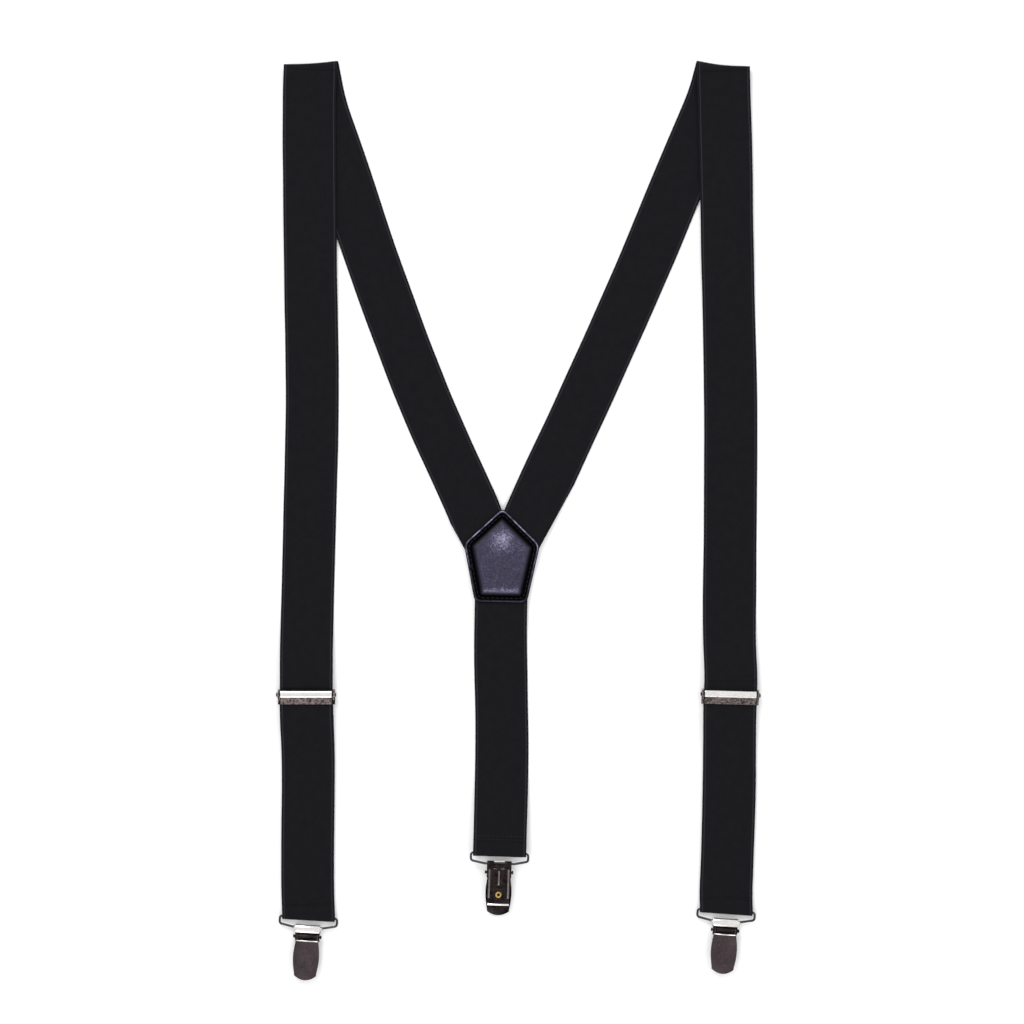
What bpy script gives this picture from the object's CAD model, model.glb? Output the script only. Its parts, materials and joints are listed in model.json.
"""Clip-on suspenders with a Y back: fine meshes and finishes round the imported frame.

Lengths are in metres. Sizes that belong to one sub-assembly are fields of its class.
"""
import json
import logging
import math
from abc import ABC, abstractmethod
from dataclasses import dataclass, field
from enum import Enum
from typing import Callable, Iterable

import bmesh
import bpy
from mathutils import Matrix, Vector, noise


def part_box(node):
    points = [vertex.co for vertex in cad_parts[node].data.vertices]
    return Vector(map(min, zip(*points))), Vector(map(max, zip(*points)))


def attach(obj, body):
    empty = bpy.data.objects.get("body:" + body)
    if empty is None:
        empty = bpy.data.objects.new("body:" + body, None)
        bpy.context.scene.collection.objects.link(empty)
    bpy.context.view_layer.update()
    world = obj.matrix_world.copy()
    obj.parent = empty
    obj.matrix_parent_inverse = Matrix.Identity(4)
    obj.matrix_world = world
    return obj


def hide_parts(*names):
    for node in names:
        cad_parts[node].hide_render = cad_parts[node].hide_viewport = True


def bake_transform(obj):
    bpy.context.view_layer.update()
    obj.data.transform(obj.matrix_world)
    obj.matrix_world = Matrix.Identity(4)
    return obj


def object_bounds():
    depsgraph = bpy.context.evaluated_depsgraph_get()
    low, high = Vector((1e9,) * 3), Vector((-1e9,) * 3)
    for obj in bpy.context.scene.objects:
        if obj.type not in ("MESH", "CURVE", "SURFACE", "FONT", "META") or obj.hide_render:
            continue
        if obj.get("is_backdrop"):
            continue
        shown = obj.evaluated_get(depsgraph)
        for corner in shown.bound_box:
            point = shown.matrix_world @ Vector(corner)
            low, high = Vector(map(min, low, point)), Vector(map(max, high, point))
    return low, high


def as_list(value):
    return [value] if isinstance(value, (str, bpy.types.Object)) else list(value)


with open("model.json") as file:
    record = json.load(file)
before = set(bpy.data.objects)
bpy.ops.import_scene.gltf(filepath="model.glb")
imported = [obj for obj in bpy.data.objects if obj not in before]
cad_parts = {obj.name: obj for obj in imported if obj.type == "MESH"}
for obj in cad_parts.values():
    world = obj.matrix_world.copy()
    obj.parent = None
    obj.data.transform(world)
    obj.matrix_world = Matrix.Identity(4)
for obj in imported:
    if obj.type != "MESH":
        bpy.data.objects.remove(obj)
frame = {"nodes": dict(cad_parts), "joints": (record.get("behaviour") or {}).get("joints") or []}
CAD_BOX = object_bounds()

LOG = logging.getLogger("suspenders")
MM = 0.001
WHITE = (1.0, 1.0, 1.0, 1.0)
BLACK = (0.0, 0.0, 0.0, 1.0)
UP = Vector((0, 0, 1))
SAME_POINT = 0.001 * MM            # points nearer than this are one
SHARP = math.radians(40)           # edges that turn more than this are shaded sharp


# ---- Colour and nodes ----


def linear(hex_colour: str) -> tuple[float, float, float, float]:
    """Turns an sRGB hex colour into linear light.

    Args:
        hex_colour: six hex digits, such as "1b1c20".

    Returns:
        Linear red, green, blue and an alpha of 1.
    """
    parts = [int(hex_colour[i:i + 2], 16) / 255 for i in (0, 2, 4)]
    light = [p / 12.92 if p <= 0.04045 else ((p + 0.055) / 1.055) ** 2.4 for p in parts]
    return (*light, 1.0)


def add_node(tree: bpy.types.NodeTree, kind: str, inputs: dict | None = None,
             stops: Iterable[tuple[float, tuple]] = (), **settings) -> bpy.types.Node:
    """Adds a node with its settings and links.

    Args:
        tree: the node tree that gets the node.
        kind: Blender's type name of the node.
        inputs: a value, a socket or a node for each input, by name or number. A node gives its first output.
        stops: a colour ramp's places from 0 to 1, each with its linear colour.
        settings: the node's own properties.

    Returns:
        The new node.
    """
    node = tree.nodes.new(kind)
    for name, value in settings.items():
        setattr(node, name, value)
    for index, (place, colour) in enumerate(stops):
        elements = node.color_ramp.elements
        element = elements[index] if index < len(elements) else elements.new(place)
        element.position = place
        element.color = colour
    for key, value in (inputs or {}).items():
        source = value.outputs[0] if isinstance(value, bpy.types.Node) else value
        if isinstance(source, bpy.types.NodeSocket):
            tree.links.new(source, node.inputs[key])
        else:
            node.inputs[key].default_value = source
    return node


def weighted_sum(tree: bpy.types.NodeTree, shares: Iterable[tuple], start: float = 0.0) -> bpy.types.Node:
    """Adds up patterns, each by its share.

    Args:
        tree: the node tree.
        shares: pairs of a pattern, as a node or a socket, and its share.
        start: what the sum starts from.

    Returns:
        The last node of the sum.
    """
    total = start
    for pattern, share in shares:
        total = add_node(tree, "ShaderNodeMath", {0: pattern, 1: share, 2: total}, operation="MULTIPLY_ADD")
    return total


class Slot(Enum):
    """The record's material slots."""

    ELASTIC = "elastic"
    LEATHER = "leather"
    THREAD = "thread"
    WIRE = "wire"
    NICKEL = "nickel"
    GUNMETAL = "gunmetal"
    BRASS = "eyelet_brass"
    PLASTIC = "grip_plastic"


@dataclass(frozen=True)
class Finish(ABC):
    """What every finish has: a name, a slot and the plain numbers of its shader."""

    name: str
    slot: Slot
    roughness: float
    metallic: float = 0.0
    specular: float = 0.5
    sheen: float = 0.0

    def start(self) -> tuple[bpy.types.Material, bpy.types.NodeTree, bpy.types.Node]:
        """Makes the material with its shader, and returns both with the tree."""
        material = bpy.data.materials.new(self.name)
        material.use_nodes = True
        tree = material.node_tree
        shader = tree.nodes["Principled BSDF"]
        shader.inputs["Roughness"].default_value = self.roughness
        shader.inputs["Metallic"].default_value = self.metallic
        if self.metallic == 0:
            shader.inputs["Specular IOR Level"].default_value = self.specular
        if self.sheen:
            shader.inputs["Sheen Weight"].default_value = self.sheen
            shader.inputs["Sheen Roughness"].default_value = 0.45
        return material, tree, shader

    @abstractmethod
    def material(self) -> bpy.types.Material:
        """Builds the material."""

    def add_to(self, piece: bpy.types.Object) -> int:
        """Adds this finish to a piece, and returns its number for the piece's faces."""
        piece.data.materials.append(bpy.data.materials.get(self.name) or self.material())
        return len(piece.data.materials) - 1

    def dress(self, piece: bpy.types.Object) -> None:
        """Gives a piece this finish as its only material."""
        piece.data.materials.clear()
        self.add_to(piece)


def millimetres(tree: bpy.types.NodeTree) -> bpy.types.Node:
    """Adds the object's own coordinates in millimetres."""
    place = add_node(tree, "ShaderNodeTexCoord").outputs["Object"]
    return add_node(tree, "ShaderNodeVectorMath", {0: place, "Scale": 1 / MM}, operation="SCALE")


@dataclass(frozen=True)
class ElasticWebbing(Finish):
    """Woven elastic: polyester yarn over rubber cores, with a flat selvedge along both borders.

    The yarn takes the shine away, and the fine ribs show as a soft vertical grain.
    """

    name: str = "woven_elastic_webbing"
    slot: Slot = Slot.ELASTIC
    roughness: float = 0.85
    specular: float = 0.08
    sheen: float = 0.03
    dark: str = "0d0d10"
    light: str = "19191d"
    selvedge: str = "2b2b32"
    rib_mm: float = 1.1        # rubber cores lie 0.55 mm apart; drawn twice as coarse so that they show
    pick_mm: float = 0.9       # weft yarns are 0.45 mm apart; drawn twice as coarse
    cloud_per_mm: float = 0.16
    yarn_per_mm: float = 1.4
    selvedge_mm: float = 15.9  # from the middle of the strap to the selvedge line
    line_mm: float = 0.55      # the line fades out this far to both sides

    def material(self) -> bpy.types.Material:
        """Builds the material from the strap's own across and along measures."""
        material, tree, shader = self.start()
        place = add_node(tree, "ShaderNodeAttribute", attribute_name=Webbing.PLACE).outputs["Vector"]
        axes = add_node(tree, "ShaderNodeSeparateXYZ", {0: place})
        across, along = axes.outputs["X"], axes.outputs["Y"]
        ribs, picks = (
            add_node(tree, "ShaderNodeMath", {0: weighted_sum(tree, [(axis, math.tau / spacing)])},
                     operation="SINE")
            for axis, spacing in ((across, self.rib_mm), (along, self.pick_mm))
        )
        weave = add_node(tree, "ShaderNodeMath", {0: ribs, 1: picks}, operation="MULTIPLY")
        cloud = add_node(tree, "ShaderNodeTexNoise", {"Vector": place, "Scale": self.cloud_per_mm,
                                                      "Detail": 6.0, "Roughness": 0.7})
        yarn = add_node(tree, "ShaderNodeTexNoise", {"Vector": place, "Scale": self.yarn_per_mm,
                                                     "Detail": 3.0})
        tone = weighted_sum(tree, [(cloud, 0.9), (weave, 0.14), (yarn, 0.5)], start=-0.35)
        body = add_node(tree, "ShaderNodeValToRGB", {0: tone},
                        [(0.0, linear(self.dark)), (1.0, linear(self.light))])
        outwards = add_node(tree, "ShaderNodeMath", {0: across}, operation="ABSOLUTE")
        past_line = add_node(tree, "ShaderNodeMath", {0: outwards, 1: self.selvedge_mm}, operation="SUBTRACT")
        from_line = add_node(tree, "ShaderNodeMath", {0: past_line}, operation="ABSOLUTE")
        line = add_node(tree, "ShaderNodeValToRGB", {0: from_line}, [(0.0, WHITE), (self.line_mm, BLACK)])
        colour = add_node(tree, "ShaderNodeMix", {0: line, 6: body, 7: linear(self.selvedge)},
                          data_type="RGBA")
        tree.links.new(colour.outputs[2], shader.inputs["Base Color"])
        height = weighted_sum(tree, [(weave, 1.0), (ribs, 1.0), (yarn, 0.8)])
        bump = add_node(tree, "ShaderNodeBump", {"Height": height, "Strength": 0.5, "Distance": 0.12 * MM})
        tree.links.new(bump.outputs[0], shader.inputs["Normal"])
        return material


@dataclass(frozen=True)
class CalfLeather(Finish):
    """Chrome-tanned calf leather, plated and padded: a smooth face with fine pores and a soft shine.

    Dye and wax stay dark and dull in the sewn groove, and the raised places are rubbed lighter.
    """

    name: str = "plated_calf_leather"
    slot: Slot = Slot.LEATHER
    roughness: float = 0.34
    specular: float = 0.5
    groove: str = "040406"
    dark: str = "171622"
    light: str = "353248"
    rubbed: str = "9a96b4"
    grain_mm: float = 0.8
    pores_per_mm: float = 1.1
    cloud_per_mm: float = 0.15

    def material(self) -> bpy.types.Material:
        """Builds the tones by the wear of each place, then the grain and the pores."""
        material, tree, shader = self.start()
        place = millimetres(tree)
        wear = add_node(tree, "ShaderNodeAttribute", attribute_name=Yoke.WEAR).outputs["Fac"]
        grain = add_node(tree, "ShaderNodeTexVoronoi", {"Vector": place, "Scale": 1 / self.grain_mm},
                         feature="F1")
        cloud = add_node(tree, "ShaderNodeTexNoise", {"Vector": place, "Scale": self.cloud_per_mm,
                                                      "Detail": 5.0})
        pores = add_node(tree, "ShaderNodeTexNoise", {"Vector": place, "Scale": self.pores_per_mm,
                                                      "Detail": 5.0, "Roughness": 0.7})
        speckle = weighted_sum(tree, [(cloud, 0.4), (pores, 1.8)], start=-1.1)
        tone = add_node(tree, "ShaderNodeMath", {0: speckle, 1: wear, 2: wear}, operation="MULTIPLY_ADD")
        stops = [(0.02, self.groove), (0.3, self.dark), (0.6, self.light), (1.0, self.rubbed)]
        colour = add_node(tree, "ShaderNodeValToRGB", {0: tone}, [(at, linear(shade)) for at, shade in stops])
        rough = weighted_sum(tree, [(pores, 0.25)], start=self.roughness - 0.12)
        gloss = weighted_sum(tree, [(wear, self.specular)])
        height = weighted_sum(tree, [(grain, 1.0), (pores, 0.8)])
        bump = add_node(tree, "ShaderNodeBump", {"Height": height, "Strength": 0.35, "Distance": 0.15 * MM})
        for source, name in ((colour, "Base Color"), (rough, "Roughness"), (gloss, "Specular IOR Level"),
                             (bump, "Normal")):
            tree.links.new(source.outputs[0], shader.inputs[name])
        return material


@dataclass(frozen=True)
class Thread(Finish):
    """Bonded polyester sewing thread: two twisted plies with a slight gloss."""

    name: str = "bonded_polyester_thread"
    slot: Slot = Slot.THREAD
    roughness: float = 0.6
    specular: float = 0.2
    sheen: float = 0.03
    dark: str = "060608"
    light: str = "141418"
    twist_mm: float = 0.35

    def material(self) -> bpy.types.Material:
        """Builds the twist of the plies."""
        material, tree, shader = self.start()
        waves = add_node(tree, "ShaderNodeTexWave", {"Vector": millimetres(tree), "Distortion": 0.5,
                                                     "Scale": 0.3 / self.twist_mm}, bands_direction="DIAGONAL")
        twist = waves.outputs["Fac"]
        colour = add_node(tree, "ShaderNodeValToRGB", {0: twist},
                          [(0.2, linear(self.dark)), (0.8, linear(self.light))])
        bump = add_node(tree, "ShaderNodeBump", {"Height": twist, "Strength": 0.5, "Distance": 0.08 * MM})
        tree.links.new(colour.outputs[0], shader.inputs["Base Color"])
        tree.links.new(bump.outputs[0], shader.inputs["Normal"])
        return material


@dataclass(frozen=True)
class Metal(Finish):
    """A metal finish: its colour in two tones, with scratches or grain of a real size and worn edges."""

    name: str = "metal"
    slot: Slot = Slot.NICKEL
    roughness: float = 0.2
    metallic: float = 1.0
    dark: str = "808080"
    light: str = "a0a0a0"
    grain_mm: float = 0.4
    stretch: tuple[float, float, float] = (1.0, 1.0, 1.0)   # grain longer along an axis where it is below 1
    depth_mm: float = 0.01
    mottle_mm: float = 6.0

    def material(self) -> bpy.types.Material:
        """Builds the tone, the grain in the shine and the fine relief."""
        material, tree, shader = self.start()
        place = millimetres(tree)
        drawn = add_node(tree, "ShaderNodeVectorMath", {0: place, 1: self.stretch}, operation="MULTIPLY")
        grain = add_node(tree, "ShaderNodeTexNoise", {"Vector": drawn, "Scale": 1 / self.grain_mm,
                                                      "Detail": 4.0})
        mottle = add_node(tree, "ShaderNodeTexNoise", {"Vector": place, "Scale": 1 / self.mottle_mm,
                                                       "Detail": 5.0})
        tone = weighted_sum(tree, [(mottle, 0.5), (grain, 0.5)])
        colour = add_node(tree, "ShaderNodeValToRGB", {0: tone},
                          [(0.35, linear(self.dark)), (0.65, linear(self.light))])
        rough = weighted_sum(tree, [(grain, 0.2)], start=max(0.02, self.roughness - 0.1))
        bump = add_node(tree, "ShaderNodeBump", {"Height": grain, "Strength": 0.4,
                                                 "Distance": self.depth_mm * MM})
        for source, name in ((colour, "Base Color"), (rough, "Roughness"), (bump, "Normal")):
            tree.links.new(source.outputs[0], shader.inputs[name])
        return material


@dataclass(frozen=True)
class MouldedNylon(Finish):
    """Injection-moulded black nylon with a fine spark-eroded texture."""

    name: str = "moulded_black_nylon"
    slot: Slot = Slot.PLASTIC
    roughness: float = 0.5
    dark: str = "121214"
    light: str = "1e1e21"
    texture_mm: float = 0.25

    def material(self) -> bpy.types.Material:
        """Builds the mould texture."""
        material, tree, shader = self.start()
        texture = add_node(tree, "ShaderNodeTexNoise", {"Vector": millimetres(tree),
                                                        "Scale": 1 / self.texture_mm, "Detail": 2.0})
        colour = add_node(tree, "ShaderNodeValToRGB", {0: texture},
                          [(0.3, linear(self.dark)), (0.7, linear(self.light))])
        bump = add_node(tree, "ShaderNodeBump", {"Height": texture, "Strength": 0.3, "Distance": 0.03 * MM})
        tree.links.new(colour.outputs[0], shader.inputs["Base Color"])
        tree.links.new(bump.outputs[0], shader.inputs["Normal"])
        return material


ELASTIC = ElasticWebbing()
LEATHER = CalfLeather()
THREAD = Thread()
NYLON = MouldedNylon()
# Drawn steel wire, black nickel plated: long fine die marks and a dark gleam
WIRE = Metal("drawn_nickel_wire", Slot.WIRE, roughness=0.3, dark="2b2b2f", light="545458", grain_mm=0.5,
             stretch=(0.15, 1.0, 1.0))
# Stamped steel, bright nickel plated: clear reflections, almost white under a wide light
NICKEL = Metal("bright_nickel_plate", Slot.NICKEL, roughness=0.2, dark="e2dedb", light="f6f4f2", grain_mm=0.9,
               depth_mm=0.002)
# The same plating rubbed down along raised edges
RUBBED = Metal("rubbed_nickel_edges", Slot.NICKEL, roughness=0.34, dark="584d4e", light="8a7f80",
               grain_mm=0.6, depth_mm=0.01)
# Stamped steel with a black nickel finish, tumbled: warm dark grey, satin, with a fine peened texture
GUNMETAL = Metal("tumbled_black_nickel", Slot.GUNMETAL, roughness=0.46, dark="3a3235", light="51474a",
                 grain_mm=0.9, depth_mm=0.03, mottle_mm=9.0)
# Black nickel inside the clip, where tumbling doesn't reach: darker and smoother
BLACK_NICKEL = Metal("barrel_black_nickel", Slot.NICKEL, roughness=0.36, dark="0e0c0d", light="3a3233",
                     grain_mm=0.8, depth_mm=0.02, mottle_mm=4.0)
# Black nickel in the hammered lower half of the adjuster: brown-grey hollows and light crests
PRESSED = Metal("hammered_black_nickel", Slot.NICKEL, roughness=0.42, dark="1e1819", light="7d7170",
                grain_mm=1.1, depth_mm=0.15, mottle_mm=2.2)
# Polished brass: a small warm ring
BRASS = Metal("polished_brass", Slot.BRASS, roughness=0.22, dark="a8823c", light="e3c47c", grain_mm=0.5)


# ---- Mesh helpers ----


def mesh_piece(name: str, vertices: list[Vector], faces: list[tuple[int, ...]]) -> bpy.types.Object:
    """Makes a smooth-shaded object from points and faces, with its faces pointing out.

    Args:
        name: the piece's name.
        vertices: points in the row frame.
        faces: corner numbers of each face.

    Returns:
        The new object, linked to the scene.
    """
    mesh = bpy.data.meshes.new(name)
    mesh.from_pydata([tuple(v) for v in vertices], [], faces)
    shape = bmesh.new()
    shape.from_mesh(mesh)
    bmesh.ops.recalc_face_normals(shape, faces=shape.faces)
    shape.to_mesh(mesh)
    shape.free()
    mesh.shade_smooth()
    piece = bpy.data.objects.new(name, mesh)
    bpy.context.scene.collection.objects.link(piece)
    return piece


def ring_faces(rings: int, around: int, closed: bool = False) -> list[tuple[int, ...]]:
    """Faces of a tube of rings of points.

    Args:
        rings: how many rings there are.
        around: how many points each ring has.
        closed: whether the last ring joins the first, instead of caps at both ends.

    Returns:
        The corner numbers of each face.
    """
    faces = []
    for ring in range(rings if closed else rings - 1):
        here, there = ring * around, ((ring + 1) % rings) * around
        for i in range(around):
            j = (i + 1) % around
            faces.append((here + i, here + j, there + j, there + i))
    if not closed:
        faces.append(tuple(range(around)))
        faces.append(tuple((rings - 1) * around + i for i in range(around)))
    return faces


def apply_modifiers(piece: bpy.types.Object) -> None:
    """Replaces a piece's mesh with what its modifiers make of it."""
    evaluated = piece.evaluated_get(bpy.context.evaluated_depsgraph_get())
    mesh = bpy.data.meshes.new_from_object(evaluated)
    piece.modifiers.clear()
    piece.data = mesh


def refined(node: str, name: str, bevel: float, angle: float = 32.0) -> bpy.types.Object:
    """A finer copy of a stamped or moulded CAD node, with its sharp edges broken.

    Args:
        node: the CAD node that the piece stands for.
        name: the piece's name.
        bevel: width of the broken edges.
        angle: the edges that turn more than this many degrees are broken.

    Returns:
        The new piece, which replaces the node.
    """
    shape = bmesh.new()
    shape.from_mesh(frame["nodes"][node].data)
    bmesh.ops.remove_doubles(shape, verts=shape.verts, dist=SAME_POINT)
    bmesh.ops.dissolve_limit(shape, angle_limit=math.radians(2), verts=shape.verts, edges=shape.edges)
    mesh = bpy.data.meshes.new(name)
    shape.to_mesh(mesh)
    shape.free()
    piece = bpy.data.objects.new(name, mesh)
    bpy.context.scene.collection.objects.link(piece)
    edges = piece.modifiers.new("edges", "BEVEL")
    edges.width = bevel
    edges.segments = 2
    edges.limit_method = "ANGLE"
    edges.angle_limit = math.radians(angle)
    apply_modifiers(piece)
    piece.data.shade_smooth()
    piece.data.set_sharp_from_angle(angle=SHARP)
    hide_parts(node)
    return piece


def joined(pieces: list[bpy.types.Object], name: str) -> bpy.types.Object:
    """Joins several objects' meshes into one piece with a new name."""
    shape = bmesh.new()
    for piece in pieces:
        shape.from_mesh(piece.data)
        bpy.data.objects.remove(piece)
    mesh = bpy.data.meshes.new(name)
    shape.to_mesh(mesh)
    shape.free()
    mesh.shade_smooth()
    mesh.set_sharp_from_angle(angle=SHARP)
    whole = bpy.data.objects.new(name, mesh)
    bpy.context.scene.collection.objects.link(whole)
    return whole


def joint(name: str) -> dict:
    """The record's joint with that name."""
    return next(j for j in frame["joints"] if j["name"] == name)


def hinge_frame(pivot: Vector, axis: Vector, up: Vector) -> Matrix:
    """A frame with its X along a hinge and its Z along up.

    Args:
        pivot: the frame's origin.
        axis: the direction of X.
        up: the direction of Z.

    Returns:
        The matrix from the frame to the row frame.
    """
    x, z = axis.normalized(), up.normalized()
    y = z.cross(x)
    return Matrix.Translation(pivot) @ Matrix((x, y, z)).transposed().to_4x4()


# ---- Elastic straps ----


@dataclass(frozen=True)
class Section:
    """A cross-section of a strap: both borders and the direction of its face."""

    left: Vector
    right: Vector
    up: Vector

    @property
    def middle(self) -> Vector:
        """The point halfway between the borders."""
        return (self.left + self.right) / 2

    def borders(self, turned: bool = False) -> tuple[Vector, Vector]:
        """The left and right border, or the other way round."""
        return (self.right, self.left) if turned else (self.left, self.right)


class StrapLine:
    """The run of a strap, as cross-sections from its end near the clip to its end near the shoulder."""

    THICKNESS = 1.2 * MM
    SAME_BORDER = 20 * MM      # sections are closer together than this, and the strap is wider
    FULL_WIDTH = 34.5 * MM     # sections narrower than this are cut off at a mitre
    TURN_STEPS = 16            # steps of a half-turn

    def __init__(self, sections: list[Section]) -> None:
        """Puts the sections in order."""
        self.sections = sections
        if sections[0].middle.y > sections[-1].middle.y:
            self.sections.reverse()

    @classmethod
    def read(cls, node: str) -> "StrapLine":
        """Finds the upright edge at both borders of each section of a CAD strap, and follows them."""
        shape = bmesh.new()
        shape.from_mesh(frame["nodes"][node].data)
        bmesh.ops.remove_doubles(shape, verts=shape.verts, dist=SAME_POINT)
        upright = [e for e in shape.edges if abs(e.calc_length() - cls.THICKNESS) < 0.02 * MM]
        owner = {v: e for e in upright for v in e.verts}
        near: dict = {e: set() for e in upright}
        across: dict = {e: set() for e in upright}
        for edge in shape.edges:
            a, b = (owner.get(v) for v in edge.verts)
            if a is None or b is None or a is b:
                continue
            links = near if edge.calc_length() < cls.SAME_BORDER else across
            links[a].add(b)
            links[b].add(a)
        ends = [(a, b) for a in upright for b in across[a] if len(near[a]) == 1 and len(near[b]) == 1]
        start, other = max(ends, key=lambda pair: (cls._middle(pair[0]) - cls._middle(pair[1])).length)
        sections, up = [], None
        for a, b in zip(cls._follow(start, near), cls._follow(other, near)):
            rise = (a.verts[1].co - a.verts[0].co).normalized()
            down = rise.z < 0 if up is None else rise.dot(up) < 0
            up = -rise if down else rise
            section = Section(cls._middle(a), cls._middle(b), up.copy())
            if (section.right - section.left).length > cls.FULL_WIDTH:
                sections.append(section)
        shape.free()
        return cls(sections)

    @classmethod
    def bent(cls, under: "StrapLine", over: "StrapLine", lap: float) -> "StrapLine":
        """The half-turn from one strap's end near the shoulder to that of the strap that lies on it.

        Args:
            under: the lower strap.
            over: the upper strap.
            lap: how much of both straps goes with the turn.

        Returns:
            The line of the half-turn.
        """
        low, high = under.sections[-1], over.sections[-1]
        across = (low.right - low.left).normalized()
        turned = across.dot(high.right - high.left) < 0
        outward = across.cross(UP) if across.cross(UP).y > 0 else -across.cross(UP)
        pairs = list(zip(low.borders(), high.borders(turned)))
        sections = [under.moved(-1, -lap)]
        for angle in (math.pi * k / cls.TURN_STEPS for k in range(cls.TURN_STEPS + 1)):
            cos, sin = math.cos(angle), math.sin(angle)
            sides = []
            for start, end in pairs:
                centre, radius = (start + end) / 2, (end - start).z / 2
                sides.append(centre + (start - centre) * cos + outward * (radius * sin))
            sections.append(Section(*sides, UP * cos - outward * sin))
        sections.append(Section(*over.moved(-1, -lap).borders(turned), -UP))
        return cls(sections)

    @staticmethod
    def _middle(edge: bmesh.types.BMEdge) -> Vector:
        """The middle of an edge."""
        return (edge.verts[0].co + edge.verts[1].co) / 2

    @classmethod
    def _follow(cls, start: bmesh.types.BMEdge, near: dict) -> list:
        """Follows one border from its end, each step the one that turns least."""
        chain = [start]
        heading = None
        while True:
            here = cls._middle(chain[-1])
            steps = [(cls._middle(e) - here, e) for e in near[chain[-1]] if e not in chain]
            if not steps:
                return chain
            step, following = max(
                steps, key=lambda s: s[0].normalized().dot(heading) if heading else -s[0].length)
            heading = step.normalized()
            chain.append(following)

    @property
    def length(self) -> float:
        """The strap's length along its middle."""
        points = [s.middle for s in self.sections]
        return sum((b - a).length for a, b in zip(points, points[1:]))

    def moved(self, end: int, by: float) -> Section:
        """The cross-section at an end, moved along the strap.

        Args:
            end: 0 for the end nearer the clip, -1 for the end nearer the shoulder.
            by: how far it moves away from the strap.

        Returns:
            The moved cross-section.
        """
        last, inner = self.sections[end], self.sections[1 if end == 0 else -2]
        step = (last.middle - inner.middle).normalized() * by
        return Section(last.left + step, last.right + step, last.up)

    def grown(self, low: float, high: float) -> "StrapLine":
        """Moves both ends along the strap.

        Args:
            low: how far the end nearer the clip grows, or shrinks where it is negative.
            high: the same for the end nearer the shoulder.

        Returns:
            The line itself.
        """
        self.sections = [self.moved(0, low), *self.sections[1:-1], self.moved(-1, high)]
        return self

    def fine(self, step: float) -> list[Section]:
        """Cross-sections about a step apart, on smooth curves through the coarse ones."""
        rows = []
        coarse = self.sections
        for i in range(len(coarse) - 1):
            around = [coarse[max(i - 1, 0)], coarse[i], coarse[i + 1], coarse[min(i + 2, len(coarse) - 1)]]
            count = max(1, round((around[2].middle - around[1].middle).length / step))
            for k in range(count):
                t = k / count
                left = catmull([s.left for s in around], t)
                right = catmull([s.right for s in around], t)
                rows.append(Section(left, right, around[1].up.lerp(around[2].up, t).normalized()))
        rows.append(coarse[-1])
        return rows


Trim = Callable[[Vector], Vector]


def catmull(points: list[Vector], t: float) -> Vector:
    """A point between the middle two of four points, on a smooth curve through them.

    Args:
        points: four points in a row.
        t: from 0 at the second point to 1 at the third.

    Returns:
        The point on the curve.
    """
    before, start, end, after = points
    span = (end - start).length
    out = (end - before) * (span / max((start - before).length + span, 1e-9))
    into = (after - start) * (span / max((after - end).length + span, 1e-9))
    return ((2 * t**3 - 3 * t**2 + 1) * start + (t**3 - 2 * t**2 + t) * out
            + (3 * t**2 - 2 * t**3) * end + (t**3 - t**2) * into)


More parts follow.
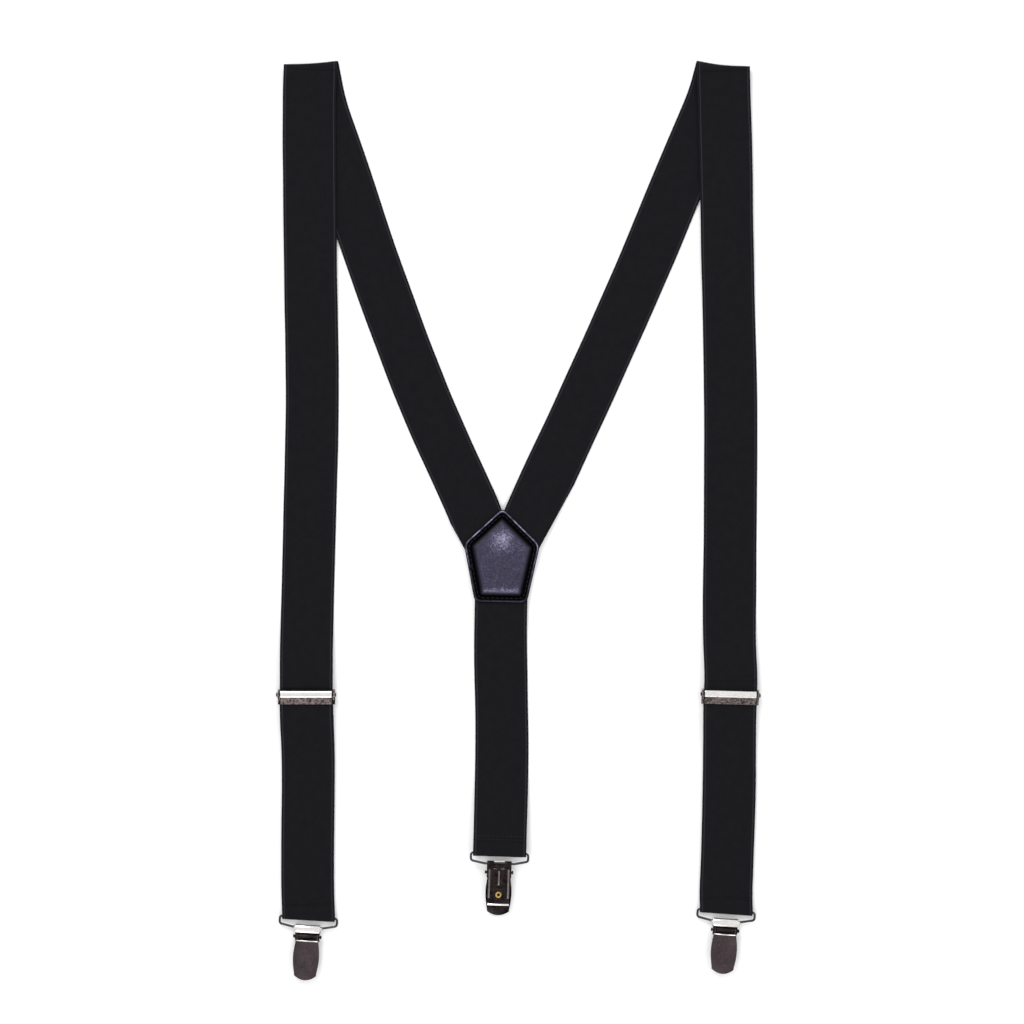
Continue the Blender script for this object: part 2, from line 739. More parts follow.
@dataclass
class Webbing:
    """Elastic straps: rounded borders, a pressed line inside each selvedge and a slight ripple."""

    thickness: float = StrapLine.THICKNESS
    row: float = 2.2 * MM
    columns: int = 18
    selvedge_inset: float = 1.6 * MM
    selvedge_depth: float = 0.14 * MM
    selvedge_half: float = 0.35 * MM     # half the width of the pressed line
    plain_inset: float = 1.2 * MM        # the plain face begins this far in from the line
    ripple: float = 0.12 * MM
    border_wander: float = 0.25 * MM
    meet: float = 0.15 * MM

    PLACE = "strap_place"      # attribute with each point's millimetres across and along its strap

    def profile(self, half: float) -> list[tuple[float, float]]:
        """The closed outline of a cross-section, as places across and heights."""
        radius = self.thickness / 2
        flat = half - radius
        inset = half - self.selvedge_inset
        places = [flat - 0.3 * MM, inset + self.selvedge_half, inset, inset - self.selvedge_half]
        inner = inset - self.plain_inset
        places += [inner * (1 - 2 * i / self.columns) for i in range(self.columns + 1)]
        places += [-p for p in reversed(places[:4])]
        top = [(p, radius - (self.selvedge_depth if abs(abs(p) - inset) < SAME_POINT else 0)) for p in places]
        bend = [math.radians(a) for a in (-60, -20, 20, 60)]
        right = [(flat + radius * math.cos(a), radius * math.sin(a)) for a in bend]
        left = [(-x, z) for x, z in reversed(right)]
        bottom = [(x, -z) for x, z in reversed(top)]
        return [*right, *top, *left, *bottom]

    def strap(self, name: str, line: StrapLine, trim: Trim | None = None) -> bpy.types.Object:
        """Builds one stretch of strap along its line.

        Args:
            name: the piece's name.
            line: the line it follows.
            trim: moves a point that lies past a cut back to the cut.

        Returns:
            The piece, with the place on the strap of each of its points.
        """
        points, marks = [], []
        rows = line.fine(self.row)
        along, last = 0.0, rows[0].middle
        for row in rows:
            middle = row.middle
            along += (middle - last).length
            last = middle
            side = row.right - row.left
            half = side.length / 2
            side.normalize()
            wander = self.border_wander * noise.noise(Vector((middle.x * 30, middle.y * 30, 3.7)))
            for across, height in self.profile(half):
                spot = middle + side * (across + wander * across / half)
                lift = self.ripple * (0.5 + 0.5 * noise.noise(Vector((spot.x * 60, spot.y * 45, 9.1))))
                spot += row.up * (height + (lift if row.up.z > 0.8 else 0))
                points.append(trim(spot) if trim else spot)
                marks.append((across / MM, along / MM, 0.0))
        piece = mesh_piece(name, points, ring_faces(len(rows), len(self.profile(1))))
        mark = piece.data.attributes.new(self.PLACE, "FLOAT_VECTOR", "POINT")
        mark.data.foreach_set("vector", [value for point in marks for value in point])
        ELASTIC.dress(piece)
        return piece

    def stretch(self, node: str, line: StrapLine, held: str, rests_on: list[str],
                trim: Trim | None = None) -> bpy.types.Object:
        """Args:
            node: the CAD node.
            line: the line that the strap follows.
            held: how the cloth lies.
            rests_on: what it lies on.
            trim: as for strap.

        Returns:
            The piece.
        """
        piece = self.strap(node.replace("_strap", "").replace("_fold", "") + "_webbing", line, trim)
        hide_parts(node)
        line.length
        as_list(rests_on)
        return piece

    def whole(self, node: str, held: str, rests_on: list[str]) -> tuple[bpy.types.Object, StrapLine]:
        """As stretch, for a strap that just meets its neighbours at both ends.

        Args:
            node: the CAD node.
            held: how the cloth lies.
            rests_on: what it lies on.

        Returns:
            The piece and the line it follows.
        """
        line = StrapLine.read(node).grown(self.meet, self.meet)
        return self.stretch(node, line, held, rests_on), line


@dataclass
class Seam:
    """A row of lock stitches across a strap."""

    stitch: float = 2.4 * MM
    space: float = 0.7 * MM
    thread: float = 0.45 * MM
    width: float = 31 * MM

    def row(self, name: str, middle: Vector, across: Vector, up: Vector) -> bpy.types.Object:
        """Builds the row of stitches.

        Args:
            name: the piece's name.
            middle: the middle of the row, on the strap's face.
            across: the direction of the row.
            up: the direction that the face looks in.

        Returns:
            The piece.
        """
        pitch = self.stitch + self.space
        count = int(self.width / pitch)
        start = middle - across * (pitch * (count - 1) / 2)
        reach = across * (self.stitch / 2)
        middles = [start + across * (pitch * i) for i in range(count)]
        ends = [(spot - reach, spot + reach) for spot in middles]
        return stitches(name, ends, up, self.thread)


def stitches(name: str, ends: Iterable[tuple[Vector, Vector]], up: Vector, thread: float) -> bpy.types.Object:
    """Stitches of one thread, each a short bulging stretch that dips into the cloth at both ends.

    Args:
        name: the piece's name.
        ends: the two holes of each stitch.
        up: the direction that the face looks in.
        thread: the thread's diameter.

    Returns:
        The piece.
    """
    around, rings = 8, 7
    points, faces = [], []
    for a, b in ends:
        base = len(points)
        forward = (b - a).normalized()
        side = up.cross(forward)
        for ring in range(rings):
            t = ring / (rings - 1)
            swell = math.sin(math.pi * min(max(t, 0.06), 0.94)) ** 0.5
            centre = a.lerp(b, t) + up * (thread * (0.45 * swell - 0.25))
            for i in range(around):
                angle = math.tau * i / around
                radius = thread / 2 * swell
                points.append(centre + (side * math.cos(angle) + up * math.sin(angle)) * radius)
        faces += [tuple(base + corner for corner in face) for face in ring_faces(rings, around)]
    piece = mesh_piece(name, points, faces)
    THREAD.dress(piece)
    return piece


# ---- Leather yoke ----


@dataclass
class Yoke:
    """The leather pentagon that joins the back straps: padded patch, backing and stitching."""

    apex: float = 31 * MM
    shoulder: float = 25.2 * MM
    shoulder_y: float = 7 * MM
    foot: float = 17.2 * MM
    foot_y: float = -31.6 * MM
    turn: float = -0.02
    corner: float = 4 * MM
    groove: float = 2.9 * MM         # inset of the stitching
    groove_width: float = 1.1 * MM
    pad_start: float = 3.9 * MM      # inset where the padding begins to rise
    pad_full: float = 8 * MM
    stitch: float = 2.5 * MM
    stitch_space: float = 0.6 * MM
    thread: float = 0.5 * MM
    around: int = 200
    strap_half: float = 17.5 * MM
    tuck: float = 1.55 * MM          # how far the patch comes down to the backing beside the straps
    entry_y: float = 2.5 * MM        # the back straps go in under the sides here
    entry_half: float = 23.8 * MM
    entry_slope: float = 0.55        # how they taper towards the entry, and then along the side
    side_slope: float = 0.21

    # Where each strap runs under the leather, in millimetres from the yoke's middle
    STRAP_RUNS = (((-21, 33), (-6.5, 1.0)), ((21, 33), (6.5, 1.0)), ((-1.2, -60), (-0.4, -9.5)))
    WEAR = "leather_wear"            # attribute: 0 in the sewn groove to 1 where the leather is rubbed

    def __post_init__(self) -> None:
        """Reads the yoke's place and heights from the frame."""
        low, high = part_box("yoke_backing")
        self.backing_low, self.backing_high = low.z, high.z
        side = abs(math.sin(self.turn))
        self.middle = Vector(((low.x + high.x) / 2, low.y - self.foot_y + self.foot * side + 0.14 * MM, 0))
        patch_low, patch_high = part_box("yoke_patch")
        self.patch_low, self.pad_top = patch_low.z, patch_high.z
        self.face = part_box("yoke_stitching")[0].z - 0.3 * MM

    def corners(self, inset: float) -> list[Vector]:
        """The pentagon's corners, moved in from its border."""
        points = [(0, self.apex), (-self.shoulder, self.shoulder_y), (-self.foot, self.foot_y),
                  (self.foot, self.foot_y), (self.shoulder, self.shoulder_y)]
        outer = [Vector((x, y)) for x, y in points]
        inner = []
        for i, corner in enumerate(outer):
            before = (corner - outer[i - 1]).normalized()
            after = (outer[(i + 1) % 5] - corner).normalized()
            normals = [Vector((-d.y, d.x)) for d in (before, after)]
            bisector = (normals[0] + normals[1]).normalized()
            inner.append(corner + bisector * (inset / bisector.dot(normals[0])))
        return inner

    def outline(self, inset: float, count: int) -> list[Vector]:
        """Evenly spread points of the rounded pentagon, moved in from its border."""
        corners = self.corners(inset)
        round_off = max(self.corner - inset * 0.55, 0.8 * MM)
        path: list[Vector] = []
        for i, corner in enumerate(corners):
            before = corner + (corners[i - 1] - corner).normalized() * round_off
            after = corner + (corners[(i + 1) % 5] - corner).normalized() * round_off
            path += [before.lerp(corner, t).lerp(corner.lerp(after, t), t) for t in (k / 6 for k in range(7))]
        path.append(path[0])
        return spread(path, count)

    def trim(self, spot: Vector, side: int) -> Vector:
        """Keeps a point of a back strap on its side of the yoke's middle and inside the yoke's side."""
        above = spot.y - self.middle.y - self.entry_y
        reach = self.entry_half + above * (self.entry_slope if above > 0 else self.side_slope)
        out = side * (spot.x - self.middle.x)
        return Vector((self.middle.x + side * max(0.15 * MM, min(out, reach)), spot.y, spot.z))

    def beside_straps(self, spot: Vector) -> float:
        """From 0 over a strap to 1 clear of all three, at a place on the patch."""
        clear = 1.0
        for start, end in ((Vector(a) * MM, Vector(b) * MM) for a, b in self.STRAP_RUNS):
            run = (end - start).normalized()
            away = spot - start
            aside = abs(away.dot(Vector((run.y, -run.x)))) - self.strap_half
            beyond = away.dot(run) - (end - start).length
            clear = min(clear, smooth(max(aside, beyond), 0, 4 * MM))
        return clear

    def height(self, inset: float, spot: Vector) -> float:
        """Height of the patch's face at a place, given how far in from the border it is."""
        border = -0.75 * MM * (1 - smooth(inset, 0, 0.9 * MM)) ** 2
        groove = -0.8 * MM * math.exp(-((inset - self.groove) / self.groove_width) ** 2)
        padded = smooth(inset, self.pad_start, self.pad_full)
        crown = -0.5 * MM * (spot.length / (26 * MM)) ** 2 * padded
        tuck = -self.tuck * self.beside_straps(spot) * (1 - smooth(inset, 0.5 * MM, 6 * MM))
        wander = 0.12 * MM * noise.noise(Vector((spot.x * 90, spot.y * 90, 1.3))) * smooth(inset, 0, 2 * MM)
        return self.face + border + groove + (self.pad_top - self.face) * padded + crown + tuck + wander

    def wear(self, inset: float, spot: Vector) -> float:
        """How rubbed the leather is at a place: most on the rim and on the pad's lower edge and crest."""
        patchy = noise.noise(Vector((spot.x * 260, spot.y * 260, 5.1)))
        strength = 0.45 + 0.4 * smooth(spot.y, -22 * MM, 6 * MM) + 0.35 * patchy
        rim = strength * math.exp(-((inset - 0.9 * MM) / (0.5 * MM)) ** 2)
        pad = 0.52 * smooth(inset, self.pad_start + 0.6 * MM, self.pad_full)
        crest = 0.5 * math.exp(-((spot - Vector((0, 0.3 * self.apex))).length / (7 * MM)) ** 2)
        lower = 0.6 * math.exp(-((spot.y - self.foot_y - 6.5 * MM) / (2.2 * MM)) ** 2)
        return rim + pad + (crest + lower) * pad

    def place(self, spot: Vector, height: float) -> Vector:
        """A point of the yoke in the row frame."""
        turned = Matrix.Rotation(self.turn, 2) @ spot
        return self.middle + Vector((turned.x, turned.y, height))

    def patch(self) -> bpy.types.Object:
        """Builds the padded patch as rings of points from its lower border up and in to the middle."""
        insets = [0, 0.15, 0.4, 0.8, 1.2, 1.6, 2.0, 2.3, 2.6, 2.9, 3.2, 3.6, 4.1, 4.7, 5.4, 6.2, 7.2, 8.5, 10,
                  12, 14, 16, 18]
        points, wear = [], []
        for inset, rise in ((0.8 * MM, -0.1 * MM), (0.1 * MM, 0.15 * MM), (0, 0.5 * MM)):
            for spot in self.outline(inset, self.around):
                points.append(self.place(spot, self.patch_low + rise - self.tuck * self.beside_straps(spot)))
                wear.append(0.3)
        for inset in (i * MM for i in insets):
            for spot in self.outline(inset, self.around):
                points.append(self.place(spot, self.height(inset, spot)))
                wear.append(self.wear(inset, spot))
        piece = mesh_piece("yoke_leather_patch", points, ring_faces(len(points) // self.around, self.around))
        piece.data.attributes.new(self.WEAR, "FLOAT", "POINT").data.foreach_set("value", wear)
        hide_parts("yoke_patch")
        return piece

    def backing(self) -> bpy.types.Object:
        """Builds the flat backing with its cut border slightly rounded."""
        low, high, cut = self.backing_low, self.backing_high, 0.3 * MM
        steps = [(6 * MM, low), (cut, low), (0, low + cut), (0, high - cut), (cut, high), (6 * MM, high)]
        rings = [[self.place(p, z) for p in self.outline(inset, self.around)] for inset, z in steps]
        points = [point for ring in rings for point in ring]
        piece = mesh_piece("yoke_leather_backing", points, ring_faces(len(rings), self.around))
        piece.data.attributes.new(self.WEAR, "FLOAT", "POINT").data.foreach_set("value", [0.4] * len(points))
        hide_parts("yoke_backing")
        return piece

    def stitching(self) -> bpy.types.Object:
        """Sews round the patch, in its groove."""
        line = self.outline(self.groove, 720)
        line.append(line[0])
        total = sum((b - a).length for a, b in zip(line, line[1:]))
        count = round(total / (self.stitch + self.stitch_space))
        holes = spread(line, count * 2)
        share = self.stitch / (self.stitch + self.stitch_space)
        ends = []
        for i in range(count):
            a, b, c = holes[2 * i], holes[2 * i + 1], holes[(2 * i + 2) % len(holes)]
            end = b.lerp(c, 2 * share - 1)
            ends.append(tuple(self.place(p, self.height(self.groove, p) + 0.12 * MM) for p in (a, end)))
        piece = stitches("yoke_thread", ends, UP, self.thread)
        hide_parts("yoke_stitching")
        return piece

    def build(self) -> None:
        """Builds and dresses the yoke."""
        for piece in (self.patch(), self.backing()):
            LEATHER.dress(piece)
            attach(piece, "harness")
        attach(self.stitching(), "harness")
        LOG.info("yoke: patch, backing and stitching")


def smooth(value: float, start: float, end: float) -> float:
    """Eases from 0 at start to 1 at end."""
    t = min(max((value - start) / (end - start), 0.0), 1.0)
    return t * t * (3 - 2 * t)


def spread(path: list[Vector], count: int) -> list[Vector]:
    """Points at even distances along a closed path that ends where it starts.

    Args:
        path: the path's points, with the first one again at the end.
        count: how many points to return.

    Returns:
        The points, the first at the path's start.
    """
    lengths = [(b - a).length for a, b in zip(path, path[1:])]
    step = sum(lengths) / count
    points, index, passed = [], 0, 0.0
    for i in range(count):
        goal = i * step
        while passed + lengths[index] < goal and index < len(lengths) - 1:
            passed += lengths[index]
            index += 1
        share = (goal - passed) / max(lengths[index], 1e-12)
        points.append(path[index].lerp(path[index + 1], min(share, 1.0)))
    return points


# ---- Clips ----


@dataclass
class Clip:
    """A lever clip with its wire loop. Local X runs along the wire bar, Y up the strap, Z to the cover."""

    side: str
    wire: float = 0.75 * MM
    loop_half: float = 18.9 * MM
    bar_half: float = 9.6 * MM
    corner_rise: float = 1.9 * MM
    cover_top: float = 8.0 * MM
    cover_corner: float = 31.5 * MM
    cover_tip: float = 34.3 * MM
    cover_half: float = 7.3 * MM
    cover_swell: float = 1.3 * MM
    crown: float = 5.2 * MM
    side_drop: float = 1.6 * MM
    tip_droop: float = 0.9 * MM
    sheet: float = 0.9 * MM
    pin_y: float = -5.8 * MM
    pin_z: float = 1.6 * MM
    pin_hole: float = 1.05 * MM
    tab_radius: float = 1.9 * MM
    tab_inner: float = 6.2 * MM
    tab_sheet: float = 0.8 * MM
    foot_bar: float = -25.6 * MM
    rail_tops: float = -2.3 * MM
    bright_edge: float = 0.9 * MM
    flap_floor: float = -0.6 * MM        # the bracket's front flap lies above this
    flap_end: float = -3.3 * MM          # and ends here along the strap

    WIRE_SIDES = 16
    WIRE_STEPS = 150
    TAB_END_MM = ((-8.8, 3.9), (-12.5, 4.1), (-12.5, 3.1))    # the tab's far end, under the cover

    def __post_init__(self) -> None:
        """Reads the clip's place from its joints."""
        bar, lever, swing = (joint(f"{self.side}_{n}") for n in ("clip_swing", "lever_open", "wire_swing"))
        up = UP if lever["pos_m"][2] > bar["pos_m"][2] else -UP
        self.strap_bar = (Vector(swing["pos_m"]) - Vector(bar["pos_m"])).length
        axis = -Vector(lever["axis"])
        self.place = hinge_frame(Vector(bar["pos_m"]), axis, up)

    def wire_path(self) -> list[Vector]:
        """The closed middle line of the wire, with its bends rounded."""
        half, rise, top = self.loop_half, self.corner_rise, self.strap_bar
        right = [((self.bar_half, 0), 4 * MM), ((half, rise), 1.8 * MM), ((half, top), 1.9 * MM)]
        left = [((-x, y), bend) for (x, y), bend in reversed(right)]
        return [self.place @ Vector((p.x, p.y, 0)) for p in filleted([*right, *left], 8)]

    def wire_loop(self) -> bpy.types.Object:
        """Builds the bent wire loop."""
        path = spread([*self.wire_path(), self.wire_path()[0]], self.WIRE_STEPS)
        up = (self.place.to_3x3() @ UP).normalized()
        points = []
        for i, spot in enumerate(path):
            forward = (path[(i + 1) % len(path)] - path[i - 1]).normalized()
            side = up.cross(forward)
            for k in range(self.WIRE_SIDES):
                angle = math.tau * k / self.WIRE_SIDES
                points.append(spot + (side * math.cos(angle) + up * math.sin(angle)) * self.wire)
        faces = ring_faces(len(path), self.WIRE_SIDES, closed=True)
        piece = mesh_piece(f"{self.side}_wire", points, faces)
        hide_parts(f"{self.side}_wire_loop")
        WIRE.dress(piece)
        return piece

    def cover_point(self, side: float, down: float, inner: bool) -> Vector:
        """A point of the cover.

        Args:
            side: from -1 at the left border to 1 at the right one.
            down: from 0 at the top edge to 1 at the tip.
            inner: whether the point is on the inner face.

        Returns:
            The point in the clip's own frame.
        """
        half = self.cover_half + self.cover_swell * math.sin(math.pi * min(1.0, down * 1.05))
        end = self.cover_tip + (self.cover_corner - self.cover_tip) * side * side
        outer = self.crown - self.side_drop * side * side - self.tip_droop * max(0.0, 2 * down - 1) ** 3
        y = -(self.cover_top + (end - self.cover_top) * down)
        return Vector((side * half, y, outer - (self.sheet if inner else 0)))

    def cover(self) -> bpy.types.Object:
        """Builds the crowned lever cover with its two tabs on the pin."""
        across, down = 24, 36
        faces, points = [], []
        for inner in (False, True):
            base = len(points)
            for j in range(down + 1):
                points += [self.cover_point(2 * i / across - 1, j / down, inner) for i in range(across + 1)]
            for j in range(down):
                for i in range(across):
                    a = base + j * (across + 1) + i
                    faces.append((a, a + 1, a + across + 2, a + across + 1))
        row, layer = across + 1, (across + 1) * (down + 1)
        border = [*range(row), *[row * j + across for j in range(1, down + 1)],
                  *[row * down + i for i in range(across - 1, -1, -1)],
                  *[row * j for j in range(down - 1, 0, -1)]]
        for a, b in zip(border, [*border[1:], border[0]]):
            faces.append((a, b, b + layer, a + layer))
        shell = mesh_piece(f"{self.side}_cover_shell", points, faces)
        edges = shell.modifiers.new("edges", "BEVEL")
        edges.width = 0.3 * MM
        edges.segments = 3
        edges.limit_method = "ANGLE"
        edges.angle_limit = math.radians(50)
        apply_modifiers(shell)
        tabs = [self.tab(x) for x in (-self.tab_inner - self.tab_sheet, self.tab_inner)]
        piece = joined([shell, *tabs], f"{self.side}_lever_cover")
        GUNMETAL.dress(piece)
        bright, inside = (finish.add_to(piece) for finish in (NICKEL, BLACK_NICKEL))
        for face in piece.data.polygons:
            below_edge = -face.center.y - self.cover_top
            if face.normal.z < -0.2:
                face.material_index = inside
            elif 0 <= below_edge < self.bright_edge and face.normal.z > 0.2:
                face.material_index = bright
        piece.data.transform(self.place)
        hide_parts(f"{self.side}_clip_cover")
        return piece

    def plate_bracket(self, piece: bpy.types.Object) -> None:
        """Leaves the bracket's front flap bright, and its rails and foot rubbed."""
        inverse = self.place.inverted()
        bright, rubbed = (finish.add_to(piece) for finish in (NICKEL, RUBBED))
        for face in piece.data.polygons:
            spot = inverse @ face.center
            if spot.z > self.flap_floor and spot.y > self.flap_end:
                face.material_index = bright
            elif spot.y < self.foot_bar:
                face.material_index = bright
            elif spot.z < self.rail_tops:
                face.material_index = rubbed

    def tab(self, x: float) -> bpy.types.Object:
        """Builds one tab of the cover: a plate with the pin's hole, from x outwards."""
        arc = [math.radians(a) for a in range(-117, 91, 12)]
        pin = Vector((self.pin_y, self.pin_z))
        outer = [pin + Vector((math.cos(a), math.sin(a))) * self.tab_radius for a in arc]
        outer += [Vector(place) * MM for place in self.TAB_END_MM]
        hole = [pin + Vector((math.cos(a), math.sin(a))) * self.pin_hole
                for a in (math.tau * k / 24 for k in range(24))]
        plate = plate_piece(f"{self.side}_tab", [outer, hole], self.tab_sheet, 0.12 * MM)
        to_side = Matrix(((0, 0, 1, x + self.tab_sheet / 2), (1, 0, 0, 0), (0, 1, 0, 0), (0, 0, 0, 1)))
        plate.data.transform(to_side)
        return plate

    def build(self) -> None:
        """Builds, dresses and places every piece of the clip."""
        side = self.side
        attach(self.wire_loop(), f"{side}_wire_loop")
        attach(self.cover(), f"{side}_clip_lever")
        made = [
            ("clip_bracket", "bracket", 0.12, BLACK_NICKEL, "clip"),
            ("clip_pin", "pin", 0.08, BLACK_NICKEL, "clip"),
            ("clip_back_pad", "back_grip", 0.12, NYLON, "clip"),
            ("clip_eyelet", "eyelet", 0.06, BRASS, "clip"),
            ("clip_jaw", "jaw", 0.1, BLACK_NICKEL, "clip_jaw"),
            ("clip_jaw_pad", "jaw_grip", 0.12, NYLON, "clip_jaw"),
        ]
        for node, name, bevel, finish, body in made:
            piece = refined(f"{side}_{node}", f"{side}_{name}", bevel * MM)
            finish.dress(piece)
            if name == "bracket":
                self.plate_bracket(piece)
            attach(piece, f"{side}_{body}")
        LOG.info("%s clip: wire, cover and %d pieces", side, len(made))


def filleted(corners: list[tuple[tuple[float, float], float]], steps: int) -> list[Vector]:
    """A closed outline with its corners rounded by arcs.

    Args:
        corners: each corner's place and the radius of its arc.
        steps: how many pieces each arc has.

    Returns:
        The outline's points.
    """
    places = [Vector(place) for place, _ in corners]
    path = []
    for i, (_, radius) in enumerate(corners):
        corner = places[i]
        back = (places[i - 1] - corner).normalized()
        on = (places[(i + 1) % len(places)] - corner).normalized()
        half = back.angle(on) / 2
        reach = radius / math.tan(half)
        centre = corner + (back + on).normalized() * (radius / math.sin(half))
        start = corner + back * reach - centre
        turn = math.pi - 2 * half
        direction = 1 if back.x * on.y - back.y * on.x < 0 else -1
        path += [centre + Matrix.Rotation(direction * turn * k / steps, 2) @ start for k in range(steps + 1)]
    return path


def plate_piece(name: str, loops: list[list[Vector]], thickness: float, bevel: float) -> bpy.types.Object:
    """A flat plate with rounded edges, centred on z = 0.

    Args:
        name: the object's name.
        loops: the outline, and then its holes, as closed lists of points.
        thickness: the plate's thickness.
        bevel: radius of its edges.

    Returns:
        The new mesh object.
    """
    curve = bpy.data.curves.new(name, "CURVE")
    curve.dimensions = "2D"
    curve.fill_mode = "BOTH"
    curve.extrude = thickness / 2 - bevel
    curve.bevel_depth = bevel
    curve.bevel_resolution = 2
    curve.offset = -bevel
    for loop in loops:
        spline = curve.splines.new("POLY")
        spline.points.add(len(loop) - 1)
        for point, place in zip(spline.points, loop):
            point.co = (place.x, place.y, 0, 1)
        spline.use_cyclic_u = True
    drawn = bpy.data.objects.new(name, curve)
    bpy.context.scene.collection.objects.link(drawn)
    mesh = bpy.data.meshes.new_from_object(drawn.evaluated_get(bpy.context.evaluated_depsgraph_get()))
    bpy.data.objects.remove(drawn)
    shape = bmesh.new()
    shape.from_mesh(mesh)
    bmesh.ops.remove_doubles(shape, verts=shape.verts, dist=SAME_POINT)
    bmesh.ops.recalc_face_normals(shape, faces=shape.faces)
    shape.to_mesh(mesh)
    shape.free()
    plate = bpy.data.objects.new(name, mesh)
    bpy.context.scene.collection.objects.link(plate)
    return plate


# ---- Adjusters ----


@dataclass
class Adjuster:
    """A strap adjuster: stamped frame, pin and the hinged plate that bites the strap."""

    side: str
    plate_half: float = 16.9 * MM
    plate_y: float = 4.65 * MM
    pin_y: float = 1.7 * MM
    pin_z: float = 6.7 * MM
    band_y: float = 0.2 * MM         # the polished band ends here and the pressed half begins

    PIN_REACH_MM = 1.2               # from the pin's middle to the inner face of the plate
    PIN_STEPS = 10                   # steps of the half-turn over the pin

    def __post_init__(self) -> None:
        """Reads the adjuster's place from its hinge."""
        hinge = joint(f"{self.side}_adjuster_open")
        at_pin = hinge_frame(Vector(hinge["pos_m"]), -Vector(hinge["axis"]), UP)
        self.place = at_pin @ Matrix.Translation((0, -self.pin_y, -self.pin_z))

    def section(self) -> list[Vector]:
        """The plate's outline seen from its end, as y and z: over the top, down, and back underneath."""
        top, low, pin = self.plate_y / MM, -self.plate_y / MM, Vector((self.pin_y, self.pin_z)) / MM
        upper = bezier((top - 0.35, 7.6), (top - 0.05, 8.4), (2.9, 8.8), (1.6, 8.8))
        fall = bezier((1.6, 8.8), (0.3, 8.8), (-0.4, 8.4), (-1.1, 7.9))
        lower = bezier((-1.1, 7.9), (-2.2, 7.4), (-3.6, 6.9), (low, 6.6))
        lip = [Vector((low, 5.85)), Vector((-3.9, 5.82)), Vector((-3.1, 6.1))]
        half_turn = [math.pi * (1 - k / self.PIN_STEPS) for k in range(self.PIN_STEPS + 1)]
        over_pin = [pin + Vector((math.cos(a), math.sin(a))) * self.PIN_REACH_MM for a in half_turn]
        points = [*upper[:-1], *fall[:-1], *lower, *lip, *over_pin, Vector((3.7, 7.4))]
        return [point * MM for point in points]

    def plate(self) -> bpy.types.Object:
        """Builds the hinged plate along its length, its ends rounded a little."""
        outline = self.section()
        middle = sum(outline, Vector((0, 0))) / len(outline)
        ends = [(1.0, 0.985), (0.997, 0.995), (0.985, 1.0)]
        places = [(-x, s) for x, s in ends] + [(-0.6 + 0.2 * i, 1.0) for i in range(7)]
        places += [(x, s) for x, s in reversed(ends)]
        points = []
        for x, size in places:
            for spot in outline:
                eased = middle + (spot - middle) * size
                points.append(self.place @ Vector((x * self.plate_half, eased.x, eased.y)))
        piece = mesh_piece(f"{self.side}_adjuster_cover", points, ring_faces(len(places), len(outline)))
        piece.data.set_sharp_from_angle(angle=math.radians(45))
        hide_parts(f"{self.side}_adjuster_plate")
        NICKEL.dress(piece)
        pressed = PRESSED.add_to(piece)
        inverse = self.place.inverted()
        for face in piece.data.polygons:
            if (inverse @ face.center).y < self.band_y:
                face.material_index = pressed
        return piece

    def polish(self, piece: bpy.types.Object) -> None:
        """Leaves the upper half of the frame rubbed light, with its eyes for the pin."""
        bright = RUBBED.add_to(piece)
        inverse = self.place.inverted()
        for face in piece.data.polygons:
            if (inverse @ face.center).y > self.band_y:
                face.material_index = bright

    def build(self) -> None:
        """Builds, dresses and places the adjuster."""
        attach(self.plate(), f"{self.side}_adjuster_lever")
        for node, bevel in (("adjuster_frame", 0.15), ("adjuster_pin", 0.1)):
            piece = refined(f"{self.side}_{node}", f"{self.side}_{node}_steel", bevel * MM)
            BLACK_NICKEL.dress(piece)
            if node == "adjuster_frame":
                self.polish(piece)
            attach(piece, f"{self.side}_adjuster")
        LOG.info("%s adjuster: frame, pin and plate", self.side)


def bezier(start: tuple, pull_start: tuple, pull_end: tuple, end: tuple, steps: int = 6) -> list[Vector]:
    """Points of a cubic curve, its start and end included."""
    a, b, c, d = (Vector(p) for p in (start, pull_start, pull_end, end))
    return [a * (1 - t) ** 3 + b * (3 * t * (1 - t) ** 2) + c * (3 * t * t * (1 - t)) + d * t**3
            for t in (k / steps for k in range(steps + 1))]


# ---- Harness ----


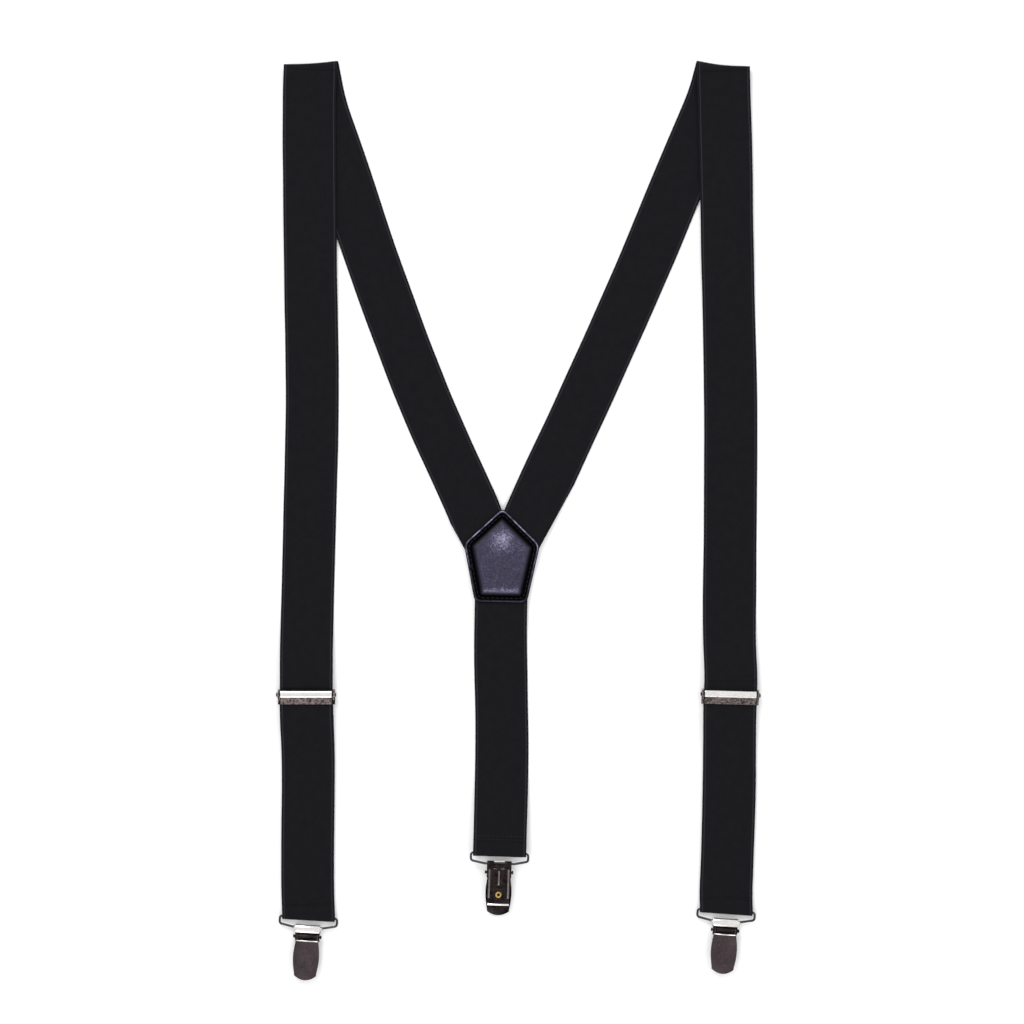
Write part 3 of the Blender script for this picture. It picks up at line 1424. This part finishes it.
@dataclass
class Harness:
    """All elastic of the suspenders, on the bodies that it joins."""

    yoke: Yoke
    webbing: Webbing = field(default_factory=Webbing)
    seam: Seam = field(default_factory=Seam)
    fold_lap: float = 2.4 * MM       # the turn at the shoulder takes this much of both straps
    under_yoke: float = 21 * MM      # how far the back straps run on under the leather past their full width
    crossing: float = 118 * MM       # the front straps lie on the back straps down to here
    seam_rows: tuple[float, float] = (1.0 * MM, 3.4 * MM)    # from the loop up to each row of stitches
    seam_lift: float = 0.66 * MM     # from the strap's middle to its face

    def front(self, side: str) -> None:
        """One side, from the yoke over the shoulder down to the clip."""
        webbing, lap = self.webbing, self.fold_lap
        outward = -1 if side == "left" else 1
        back_line, line = (StrapLine.read(f"{side}_{name}_strap") for name in ("back", "front"))
        fold_line = StrapLine.bent(back_line, line, lap)
        back_line.grown(self.under_yoke, webbing.meet - lap)
        line.grown(webbing.meet, webbing.meet - lap)
        back = webbing.stretch(f"{side}_back_strap", back_line, "laid", ["yoke_leather_backing"],
                               lambda spot: self.yoke.trim(spot, outward))
        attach(back, "harness")
        fold = webbing.stretch(f"{side}_shoulder_fold", fold_line, "folded", [f"{side}_back_webbing"])
        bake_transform(fold)
        front = webbing.stretch(f"{side}_front_strap", line, "laid", [f"{side}_back_webbing"])
        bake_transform(front)
        for name in ("lower_strap", "return_strap"):
            piece, line = webbing.whole(f"{side}_{name}", "laid", [f"{side}_adjuster_frame_steel"])
            middles = sorted((s.middle for s in line.sections), key=lambda p: -p.y)
            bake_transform(piece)
        loop, _ = webbing.whole(f"{side}_strap_loop", "folded", [f"{side}_wire"])
        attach(loop, f"{side}_strap_end")
        LOG.info("%s strap: back, fold, front, lower, return and loop", side)

    def centre(self) -> None:
        """The centre back strap, with the seam of its loop."""
        strap, line = self.webbing.whole("centre_back_strap", "laid", ["yoke_leather_backing"])
        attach(strap, "harness")
        loop, _ = self.webbing.whole("centre_strap_loop", "folded", ["centre_wire"])
        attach(loop, "harness")
        end = min((line.sections[0], line.sections[-1]), key=lambda s: s.middle.y)
        inner = min(line.sections[1:-1], key=lambda s: (s.middle - end.middle).length)
        across = (end.right - end.left).normalized()
        up = end.up if end.up.z > 0 else -end.up
        back = (inner.middle - end.middle).normalized()
        for index, offset in enumerate(self.seam_rows):
            face = end.middle + back * offset + up * self.seam_lift
            row = self.seam.row(f"centre_seam_{index + 1}", face, across, up)
            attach(row, "harness")
        LOG.info("centre strap with its loop and seam")

    def build(self) -> None:
        """Builds every strap."""
        for side in ("left", "right"):
            self.front(side)
        self.centre()


# ---- Studio ----


@dataclass
class Studio:
    """Pale floor, soft light and a camera that looks straight down."""

    view_width: float = 0.676        # width of the view at the straps
    distance: float = 2.4
    offset: tuple[float, float] = (-0.0042, 0.0056)
    floor_colour: str = "fbfbfb"
    floor_half: float = 6.0
    floor_drop: float = 0.2 * MM
    sky: float = 0.9

    # Each lamp's name, place, size and power
    LAMPS = (("key", (-0.7, 1.3, 1.5), 1.0, 16), ("fill", (1.3, 0.2, 1.3), 1.2, 7),
             ("front", (-0.4, -1.4, 1.2), 1.0, 6))

    def floor(self) -> None:
        """Lays the floor just beneath the straps."""
        half = self.floor_half
        around = ((-half, -half), (half, -half), (half, half), (-half, half))
        corners = [Vector((x, y, -self.floor_drop)) for x, y in around]
        floor = mesh_piece("floor", corners, [(0, 1, 2, 3)])
        material = bpy.data.materials.new("paper_floor")
        material.use_nodes = True
        shader = material.node_tree.nodes["Principled BSDF"]
        shader.inputs["Base Color"].default_value = linear(self.floor_colour)
        shader.inputs["Roughness"].default_value = 0.9
        shader.inputs["Specular IOR Level"].default_value = 0.1
        floor.data.materials.append(material)
        floor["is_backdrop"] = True

    def lights(self) -> None:
        """Sets the sky and three large soft lamps."""
        world = bpy.data.worlds.new("studio")
        world.use_nodes = True
        background = world.node_tree.nodes["Background"]
        background.inputs["Color"].default_value = WHITE
        background.inputs["Strength"].default_value = self.sky
        bpy.context.scene.world = world
        for name, place, size, power in self.LAMPS:
            lamp = bpy.data.lights.new(name, "AREA")
            lamp.size = size
            lamp.energy = power
            holder = bpy.data.objects.new(name, lamp)
            holder.location = place
            holder.rotation_euler = (-Vector(place)).to_track_quat("-Z", "Y").to_euler()
            bpy.context.scene.collection.objects.link(holder)

    def camera(self) -> None:
        """Hangs the camera over the straps, looking straight down."""
        data = bpy.data.cameras.new("camera")
        data.lens = data.sensor_width * self.distance / self.view_width
        data.clip_end = 20
        holder = bpy.data.objects.new("camera", data)
        holder.location = (*self.offset, self.distance)
        bpy.context.scene.collection.objects.link(holder)
        bpy.context.scene.camera = holder
        bpy.context.scene.view_settings.view_transform = "Standard"

    def build(self) -> None:
        """Builds the stage."""
        self.camera()
        self.floor()
        self.lights()


def write_sizes() -> None:
    """Writes the CAD box and the visual model's box as plain lists."""
    boxes = {"cad": CAD_BOX, "visual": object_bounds()}
    {name: [list(corner) for corner in box] for name, box in boxes.items()}


def main() -> None:
    """Builds the studio and every piece in order."""
    logging.basicConfig(level=logging.INFO, format="%(message)s")
    Studio().build()
    yoke = Yoke()
    yoke.build()
    Harness(yoke).build()
    for side in ("left", "right"):
        Adjuster(side).build()
        Clip(side).build()
    Clip("centre").build()
    write_sizes()


if __name__ == "__main__":
    main()
